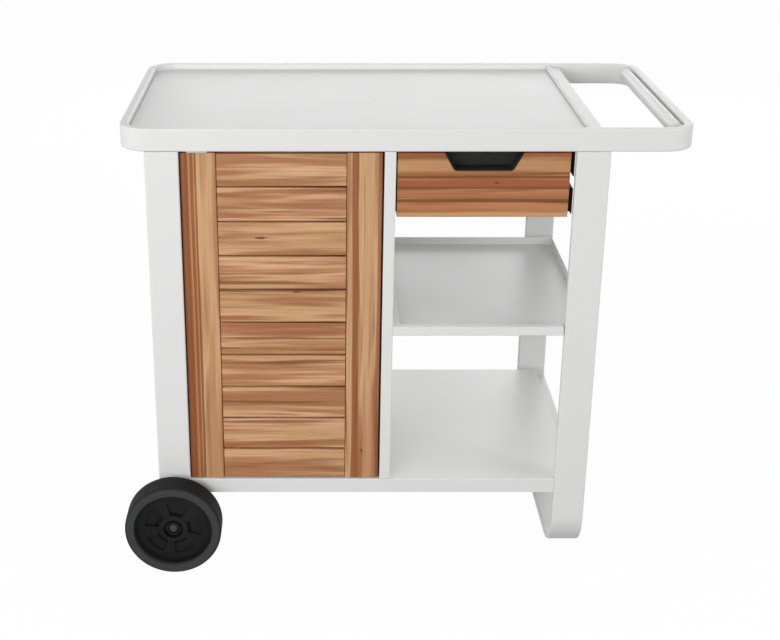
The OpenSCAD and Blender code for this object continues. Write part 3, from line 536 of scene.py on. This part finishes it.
timber, given = pattern("timber", [
    ("Place", "Vector", (0, 0, 0)), ("Board", "Float", 0.0), ("Pale", "Color", (0.70, 0.400, 0.222, 1)),
    ("Tan", "Color", (0.46, 0.220, 0.100, 1)), ("Red", "Color", (0.30, 0.092, 0.033, 1)),
    ("Dark", "Color", (0.17, 0.060, 0.016, 1)), ("Gold", "Color", (0.61, 0.370, 0.185, 1)),
    ("Redness", "Float", 0.5)])
moved = moved_by(timber, given["Place"], *(maths(timber, "MULTIPLY", given["Board"], step)
                                           for step in (1.37, 0.731, 0.519)))
bent = wandering(timber, moved, 3.0, 7.0, 0.010)
# each layer of the grain reads its own stretch of noise, which its offset sets apart
broad = streaks(timber, bent, 2.6, 34.0, detail=1.0)
middle = streaks(timber, bent, 3.6, 84.0, rough=0.55, offset=3.0)
fine = streaks(timber, bent, 9.0, 420.0, rough=0.6, offset=7.0)
fibres = streaks(timber, bent, 30.0, 1800.0, detail=1.0, offset=11.0)
heart = streaks(timber, bent, 2.4, 46.0, offset=17.0)
veins = streaks(timber, bent, 3.0, 100.0, offset=23.0)
golden = streaks(timber, bent, 1.6, 22.0, detail=1.0, offset=31.0)
sap = weighed(timber, broad, 0.45, middle)
pink = blended(timber, between(timber, sap, 0.43, 0.55), given["Tan"], given["Pale"])
ground = blended(timber, between(timber, golden, 0.44, 0.58, 0.0, 0.85), pink, given["Gold"])
in_heart = maths(timber, "MULTIPLY", between(timber, heart, 0.46, 0.60), given["Redness"])
reddish = blended(timber, in_heart, ground, given["Red"])
veined = blended(timber, between(timber, veins, 0.56, 0.70, 0.0, 0.8), reddish, given["Dark"])
give(timber,
     Colour=blended(timber, between(timber, fine, 0.35, 0.60, 0.26, 0.0), veined, given["Dark"]),
     Roughness=uneven(timber, fine, 0.56, 0.44),
     Height=weighed(timber, fine, 0.6, fibres))

knots, given = pattern("knot", [
    ("Place", "Vector", (0, 0, 0)), ("Along", "Float", 0.0), ("Across", "Float", 0.0), ("Length", "Float", 0.016),
    ("Height", "Float", 0.004), ("Ragged", "Float", 0.5)], [("Mask", "Float")])
split = node(knots, "ShaderNodeSeparateXYZ", {"Vector": given["Place"]}).outputs


def radius_of(tree, first, second):
    """The distance from the middle of two measures at right angles"""
    return maths(tree, "SQRT", maths(tree, "ADD", maths(tree, "MULTIPLY", first, first),
                                     maths(tree, "MULTIPLY", second, second)))


reach = maths(knots, "DIVIDE", maths(knots, "SUBTRACT", split["X"], given["Along"]), given["Length"])
rise = maths(knots, "DIVIDE", maths(knots, "SUBTRACT", split["Z"], given["Across"]), given["Height"])
edge_noise = maths(knots, "MULTIPLY", noise(knots, given["Place"], 300.0, 2.0), given["Ragged"])
ragged = maths(knots, "ADD", radius_of(knots, reach, rise), edge_noise)
give(knots, Mask=between(knots, ragged, 0.55, 1.0, 1.0, 0.0))

knot_brown = (0.10, 0.035, 0.012, 1)
knot_share = 0.85
grain_relief = 0.00006
whole_board = 30.0


def timber_finish(name, along, board, redness, spots=(), bands=(), attribute=None, tones=None):
    """Oiled wood. Along is the grain's axis, and board picks a stretch of the grain. Spots are knots with their
    place and half size, and bands are long streaks with their place, half width, share and colour."""
    made = new_material(name)
    tree = made.node_tree
    place = place_vector(tree)
    if along == "Z":
        parts = node(tree, "ShaderNodeSeparateXYZ", {"Vector": place}).outputs
        place = node(tree, "ShaderNodeCombineXYZ", {"X": parts["Z"], "Y": parts["Y"], "Z": parts["X"]}).outputs[0]
    if attribute:
        number = node(tree, "ShaderNodeAttribute", attribute_name=attribute)
        board = maths(tree, "ADD", number.outputs["Fac"], board)
    wood = node(tree, "ShaderNodeGroup", {"Place": place, "Board": board, "Redness": redness, **(tones or {})},
                node_tree=timber).outputs
    colour = wood["Colour"]
    for centre, half_width, share, tint in bands:
        band = node(tree, "ShaderNodeGroup", {
            "Place": wandering(tree, place, 2.5, 6.0, half_width * 1.5), "Length": whole_board, "Across": centre,
            "Height": half_width, "Ragged": 0.0}, node_tree=knots)
        colour = blended(tree, maths(tree, "MULTIPLY", band.outputs[0], share), colour, tint)
    for along_at, across_at, length, height in spots:
        spot = node(tree, "ShaderNodeGroup", {"Place": place, "Along": along_at, "Across": across_at,
                                              "Length": length, "Height": height}, node_tree=knots)
        colour = blended(tree, maths(tree, "MULTIPLY", spot.outputs[0], knot_share), colour, knot_brown)
    return cover(made, colour, wood["Roughness"], wood["Height"], grain_relief, Specular_IOR_Level=0.3)


red_brown = (0.25, 0.074, 0.020, 1)
dark_brown = (0.17, 0.056, 0.014, 1)
pale_sap = (0.56, 0.325, 0.155, 1)
warm_sap = (0.55, 0.25, 0.105, 1)
board_ease = 0.0007
low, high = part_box("door_stile_left")
left_stile_wood = timber_finish("stile_timber_left", "Z", board=3.0, redness=0.6, bands=[
    (high.x - 0.015, 0.014, 0.55, pale_sap), (low.x + 0.006, 0.013, 0.88, red_brown),
    (low.x + 0.0205, 0.005, 0.8, red_brown), (low.x + 0.0265, 0.0022, 0.8, dark_brown),
    (low.x + 0.0155, 0.0022, 0.6, warm_sap), (low.x + 0.0235, 0.0014, 0.6, warm_sap),
    (low.x + 0.0095, 0.0016, 0.6, dark_brown), (low.x + 0.0015, 0.0025, 0.6, dark_brown)])
low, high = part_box("door_stile_right")
right_stile_wood = timber_finish("stile_timber_right", "Z", board=8.0, redness=0.7, spots=[
    (0.224, -0.0665, 0.010, 0.003)], bands=[
    (high.x - 0.024, 0.010, 0.55, pale_sap), (low.x + 0.0155, 0.0075, 0.85, red_brown),
    (high.x - 0.003, 0.006, 0.7, red_brown)])
eased("door_stile_board_left", "door_stile_left", "door", "stile_wood", left_stile_wood, board_ease)
eased("door_stile_board_right", "door_stile_right", "door", "stile_wood", right_stile_wood, board_ease)

# Door slats: ten horizontal boards between the stiles, one above the other with rebated and eased front edges, so
# that a fine dark groove shows at each joint. The top and bottom slats are a little lower than the others.
slat_low, slat_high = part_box("slat_2")
top_low, top_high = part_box("slat_10")
slat_count = sum(name.startswith("slat_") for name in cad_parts)
slat_h = slat_high.z - slat_low.z
slat_gap, back_ease, groove, groove_depth, side_gap = 0.0001, 0.0006, 0.0016, 0.010, 0.0010
front, back = slat_low.y, slat_high.y
full_h = (slat_h - slat_gap) / 2
face_h = full_h - groove
upper = [(front, face_h - board_ease), (front + board_ease * 0.3, face_h - board_ease * 0.3),
         (front + board_ease, face_h), (front + groove_depth, face_h), (front + groove_depth, full_h),
         (back - back_ease, full_h), (back, full_h - back_ease)]
slat_section = [(y, -z) for y, z in upper] + [(y, z) for y, z in reversed(upper)]
count = len(slat_section)
slat_ends = [tuple(range(count)), tuple(range(2 * count - 1, count - 1, -1))]
slat_sides = [(i, i + count, (i + 1) % count + count, (i + 1) % count) for i in range(count)]
mesh = bpy.data.meshes.new("one_slat")
mesh.from_pydata([(x, y, z) for x in (slat_low.x + side_gap, slat_high.x - side_gap) for y, z in slat_section], [],
                 slat_ends + slat_sides)

slats, given = new_group("stacked_slats", "GeometryNodeTree", [
    ("Slat", "Geometry"), ("Number", "Int"), ("Pitch", "Float"), ("Lowest", "Float"), ("End share", "Float"),
    ("End shift", "Float"), ("Wood", "Material")], [("Slats", "Geometry")])


def upwards(height):
    return node(slats, "ShaderNodeCombineXYZ", {"Z": height}).outputs[0]


def same_number(first, second):
    """1 where two whole numbers are the same; they go into the node's sockets 2 and 3"""
    return node(slats, "FunctionNodeCompare", {2: first, 3: second}, data_type="INT", operation="EQUAL").outputs[0]


# a slat's order counts from 0 at the bottom; the first and the last are lower, and move in to meet their neighbours
order = node(slats, "GeometryNodeInputIndex").outputs[0]
row = node(slats, "GeometryNodeMeshLine", {"Count": given["Number"], "Start Location": upwards(given["Lowest"]),
                                           "Offset": upwards(given["Pitch"])})
is_first = same_number(order, 0)
is_last = same_number(order, maths(slats, "SUBTRACT", given["Number"], 1.0))
end_move = maths(slats, "SUBTRACT", maths(slats, "MULTIPLY", is_first, given["End shift"]),
                 maths(slats, "MULTIPLY", is_last, given["End shift"]))
raised = node(slats, "GeometryNodeSetPosition", {"Geometry": row.outputs[0], "Offset": upwards(end_move)})
lost_share = maths(slats, "MULTIPLY", maths(slats, "ADD", is_first, is_last),
                   maths(slats, "SUBTRACT", 1.0, given["End share"]))
size = node(slats, "ShaderNodeCombineXYZ", {"X": 1.0, "Y": 1.0, "Z": maths(slats, "SUBTRACT", 1.0, lost_share)})
placed = node(slats, "GeometryNodeInstanceOnPoints", {"Points": raised.outputs[0], "Instance": given["Slat"],
                                                      "Scale": size.outputs[0]})
numbered = node(slats, "GeometryNodeStoreNamedAttribute", {
    "Geometry": placed.outputs[0], "Name": "slat_number", "Value": order}, data_type="FLOAT", domain="INSTANCE")
end_tree(slats, "Slats", numbered, given["Wood"])

slat_wood = timber_finish("slat_timber", "X", board=1.0, redness=0.68, attribute="slat_number",
                          spots=[(-0.2509, 0.6495, 0.020, 0.0042), (-0.1872, 0.5462, 0.013, 0.0028)])
end_h = top_high.z - top_low.z
boards = run_tree(put("door_slat_boards", mesh), slats, Number=slat_count, Pitch=slat_h,
                  Lowest=(slat_low.z + slat_high.z) / 2 - slat_h, End_share=end_h / slat_h,
                  End_shift=(slat_h - end_h) / 2, Wood=slat_wood)
belongs(smoothed(boards), "door", "slat_wood", *["slat_%d" % (i + 1) for i in range(slat_count)])

# Door back: two upright battens hold the slats and stiles together, with one screw in every slat and two in
# each stile. The screws are zinc plated, with pan heads and a star recess.
batten_wood = timber_finish("batten_timber", "Z", board=14.0, redness=0.3)
eased("door_batten_boards", "door_battens", "door", "slat_wood", batten_wood, ease=0.0012, steps=3)
screw_set("door_screws", "batten_screws", "door", lambda p: (0, 1, 0))

# Door pivots: a steel pin stands on the lower shelf and another hangs from a plate under the ring. Each turns in
# a flanged plastic bush in the left stile. A magnet catch on the divider holds the door shut.
eased("door_bushes", "pivot_bushes", "door", "black_plastic", black_plastic, fine_ease)
eased("lower_pivot_pin", "pivot_pin_lower", "cart", "zinc_steel", zinc, fine_ease)
eased("upper_pivot_pin", "pivot_pin_upper", "cart", "zinc_steel", zinc, fine_ease)
eased("magnet_catch_case", "magnet_catch", "cart", "black_plastic", black_plastic, ease=0.0012, steps=3)
eased("catch_strike_plate", "strike_plate", "door", "zinc_steel", zinc, sheet_ease)

# Drawer hardware: a black coated bracket hangs from the tray beside the right leg, and two ball runners of three
# nested members carry the drawer. They show as dark bars in the gaps beside the drawer front.
black_coat = surface("black_powder_coat", coat, {"Tint": (0.012, 0.012, 0.013, 1), "Gloss": 0.50}, peel_depth,
                     Specular_IOR_Level=0.3)
eased("runner_bracket", "drawer_bracket", "cart", "black_metal", black_coat, sheet_ease)
for side in ("left", "right"):
    eased("runner_wall_member_" + side, "runner_outer_" + side, "cart", "black_metal", black_coat, fine_ease)
    eased("runner_middle_member_" + side, "runner_mid_" + side, "runner_mids", "black_metal", black_coat, fine_ease)
    eased("runner_drawer_member_" + side, "runner_inner_" + side, "drawer", "black_metal", black_coat, fine_ease)

# Drawer: a black coated steel box behind a hardwood front with a slanted cut-out, in which a black moulded
# pocket takes the fingers. Four screws through the box's front wall hold the wood.
drawer_tones = {"Pale": (0.49, 0.215, 0.090, 1), "Tan": (0.37, 0.140, 0.050, 1), "Red": (0.24, 0.068, 0.023, 1),
                "Dark": (0.12, 0.038, 0.010, 1), "Gold": (0.46, 0.235, 0.09, 1)}
red_heart = (0.30, 0.083, 0.030, 1)
drawer_wood = timber_finish("drawer_timber", "X", board=21.0, redness=0.4, tones=drawer_tones, spots=[
    (0.166, 0.7516, 0.009, 0.003)], bands=[
    (0.7840, 0.0130, 0.6, pale_sap), (0.7330, 0.0070, 0.6, (0.47, 0.18, 0.08, 1)),
    (0.7080, 0.0060, 0.6, (0.48, 0.20, 0.09, 1)), (0.7510, 0.0105, 0.85, red_heart),
    (0.7625, 0.0034, 0.85, dark_brown), (0.7425, 0.0030, 0.8, dark_brown), (0.7195, 0.0042, 0.85, dark_brown),
    # the red-brown band along the top edge, just under the ring, is partly reddish heartwood and partly painted shade
    # from the ring
    (0.8040, 0.0060, 0.75, red_brown), (0.6940, 0.0045, 0.8, pale_sap)])
eased("drawer_front_board", "drawer_front", "drawer", "drawer_wood", drawer_wood, ease=0.0010, steps=3)
eased("drawer_grip_pocket", "grip_pocket", "drawer", "black_plastic", black_plastic, ease=0.0006)
eased("drawer_steel_box", "drawer_box", "drawer", "black_metal", black_coat, fine_ease)
eased("drawer_back_sheet", "drawer_back", "drawer", "black_metal", black_coat, fine_ease)
screw_set("drawer_front_screws", "drawer_screws", "drawer", lambda p: (0, 1, 0))

# Axle and wheels: a zinc-plated axle runs through both left legs, with a plastic spacer behind each wheel and a
# push-on cap at each end. A dark grey tyre is snapped on a black moulded hub with five pockets round its boss.
axle_low, axle_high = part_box("axle")
axle_r, axle_l, axle_edge = (axle_high.x - axle_low.x) / 2, axle_high.y - axle_low.y, 0.001
wheel_x, wheel_z = (axle_low.x + axle_high.x) / 2, (axle_low.z + axle_high.z) / 2
axle = turned("wheel_axle", [(0, 0), (axle_r - axle_edge, 0), (axle_r, axle_edge), (axle_r, axle_l - axle_edge),
                             (axle_r - axle_edge, axle_l), (0, axle_l)],
              [along_y(wheel_x, axle_low.y, wheel_z, 1)], zinc, steps=48)
belongs(axle, "cart", "zinc_steel", "axle")
eased("axle_spacers", "wheel_spacers", "cart", "black_plastic", black_plastic, ease=0.0005)
cap_plastic = surface("grey_moulded_plastic", plastic,
                      {"Tint": (0.035, 0.035, 0.035, 1), "Gloss": 0.45, "Grain size": 0.0006}, fine_relief,
                      Specular_IOR_Level=0.3)
eased("axle_end_caps", "axle_caps", "cart", "black_plastic", cap_plastic, ease=0.0008, steps=3)

# Painted shade: the tread band gets a much darker colour than the wall, which stands for the shadow that the table
# casts on the tread.
rubber, given = pattern("wall_and_tread", [
    ("Wall", "Color", (0.04, 0.04, 0.04, 1)), ("Tread", "Color", (0.02, 0.02, 0.02, 1)), ("Gloss", "Float", 0.7),
    ("Axle X", "Float", 0.0), ("Axle Z", "Float", 0.1), ("Tread radius", "Float", 0.1),
    ("Shoulder", "Float", 0.006)])
where = place_vector(rubber)
axes = node(rubber, "ShaderNodeSeparateXYZ", {"Vector": where}).outputs
from_axle = radius_of(rubber, maths(rubber, "SUBTRACT", axes["X"], given["Axle X"]),
                      maths(rubber, "SUBTRACT", axes["Z"], given["Axle Z"]))
wall_end = maths(rubber, "SUBTRACT", given["Tread radius"], given["Shoulder"])
tread_shade_mask = between(rubber, from_axle, wall_end, given["Tread radius"])
give(rubber,
     Colour=blended(rubber, tread_shade_mask, given["Wall"], given["Tread"]),
     Roughness=maths(rubber, "ADD", given["Gloss"], uneven(rubber, noise(rubber, where, 12.0, 3.0), -0.05, 0.05)),
     Height=noise(rubber, where, 850.0, 2.0, 0.6))
shoulder, tyre_lip, fit_gap = 0.006, 0.0008, 0.00005
mould_line_depth, mould_line_half = 0.0004, 0.0012
tread_relief = 0.00005
tyre_low, tyre_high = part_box("tyre_front")
# The Tread colour below is painted shade, far darker than the wall's rubber.
tyre_rubber = surface("tyre_rubber", rubber, {
    "Wall": (0.048, 0.049, 0.050, 1), "Tread": (0.014, 0.0143, 0.0146, 1), "Gloss": 0.70, "Axle X": wheel_x,
    "Axle Z": wheel_z, "Tread radius": (tyre_high.z - tyre_low.z) / 2, "Shoulder": shoulder}, tread_relief,
    Specular_IOR_Level=0.10)
hub_plastic = surface("hub_plastic", plastic,
                      {"Tint": (0.006, 0.006, 0.0065, 1), "Gloss": 0.48, "Grain size": 0.0007}, moulded_relief,
                      Specular_IOR_Level=0.12)
for side, way in (("front", -1), ("rear", 1)):
    low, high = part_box("tyre_" + side)
    hub_low, hub_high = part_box("hub_" + side)
    outer, inner = (high.z - low.z) / 2, (hub_high.z - hub_low.z) / 2 + fit_gap
    width = high.y - low.y
    mid_w = width / 2
    outline = [(inner, tyre_lip), (inner + tyre_lip, 0)]
    outline += quarter(outer - shoulder, shoulder, shoulder, start=-90, steps=6)
    outline += [(outer, mid_w - mould_line_half), (outer - mould_line_depth, mid_w - mould_line_depth),
                (outer - mould_line_depth, mid_w + mould_line_depth), (outer, mid_w + mould_line_half)]
    outline += quarter(outer - shoulder, width - shoulder, shoulder, start=0, steps=6)
    outline += [(inner + tyre_lip, width), (inner, width - tyre_lip)]
    seat = along_y(wheel_x, low.y if way > 0 else high.y, wheel_z, way)
    tyre = turned("tyre_ring_" + side, outline, [seat], tyre_rubber, steps=144)
    belongs(tyre, "wheel_" + side, "tyre_rubber", "tyre_" + side)
    eased("wheel_hub_" + side, "hub_" + side, "wheel_" + side, "hub_plastic", hub_plastic, ease=0.0004, angle=30)


# Floor and light: a white studio floor that fills the view, five large soft lamps and an even pale world. The
# floor shows itself as white to the camera and keeps a faint shadow of the table.
def seen_directly(tree):
    """1 on rays that show the floor or the world to the eye, to a gloss or through glass, 0 on those that light"""
    ray = node(tree, "ShaderNodeLightPath").outputs
    in_gloss_or_glass = maths(tree, "MAXIMUM", ray["Is Glossy Ray"], ray["Is Transmission Ray"])
    return maths(tree, "MAXIMUM", ray["Is Camera Ray"], in_gloss_or_glass)


floor_reach = 9
shadow_share = 0.025
floor_grey, floor_white = (0.30, 0.30, 0.30, 1), (0.95, 0.95, 0.95, 1)
floor_mesh = bpy.data.meshes.new("studio_floor")
floor_mesh.from_pydata([(-floor_reach, -floor_reach, 0), (floor_reach, -floor_reach, 0),
                        (floor_reach, floor_reach, 0), (-floor_reach, floor_reach, 0)], [], [(0, 1, 2, 3)])
floor_paint = new_material("studio_floor")
tree = floor_paint.node_tree
tree.nodes.remove(tree.nodes["Principled BSDF"])
seen = seen_directly(tree)
glow = node(tree, "ShaderNodeEmission", {"Color": (1, 1, 1, 1), "Strength": 1.0})
matt = node(tree, "ShaderNodeBsdfDiffuse", {"Color": blended(tree, seen, floor_grey, floor_white)})
mixed = node(tree, "ShaderNodeMixShader", {0: maths(tree, "MULTIPLY", seen, 1 - shadow_share),
                                           1: matt.outputs[0], 2: glow.outputs[0]})
tree.links.new(mixed.outputs[0], tree.nodes["Material Output"].inputs["Surface"])
put("studio_floor", floor_mesh, floor_paint)

world_light = 0.42
world = bpy.data.worlds.new("studio")
bpy.context.scene.world = world
world.use_nodes = True
tree = world.node_tree
pale = tree.nodes["Background"]
pale.inputs["Color"].default_value = (1, 1, 1, 1)
seen_more = maths(tree, "MULTIPLY", seen_directly(tree), 1 - world_light)
tree.links.new(maths(tree, "ADD", world_light, seen_more), pale.inputs["Strength"])

table_middle = Vector((0, 0, 0.45))


def lamp(name, place, size, power):
    """A soft lamp that faces the table's middle"""
    light = bpy.data.lights.new(name, "AREA")
    light.shape, light.size, light.size_y, light.energy = "RECTANGLE", size[0], size[1], power
    made = bpy.data.objects.new(name, light)
    bpy.context.scene.collection.objects.link(made)
    made.location = place
    made.rotation_euler = (table_middle - Vector(place)).to_track_quat("-Z", "Y").to_euler()


lamp("front_softbox", (-1.8, -3.8, 1.8), size=(3.4, 1.8), power=102)
lamp("low_front_softbox", (-0.9, -4.2, 0.9), size=(3.4, 1.6), power=4)
lamp("left_softbox", (-3.4, -1.2, 1.6), size=(2.0, 2.2), power=24)
lamp("right_softbox", (3.4, -1.4, 1.6), size=(2.0, 2.2), power=46)
lamp("rear_softbox", (0.6, 3.7, 1.0), size=(3.0, 1.6), power=50)
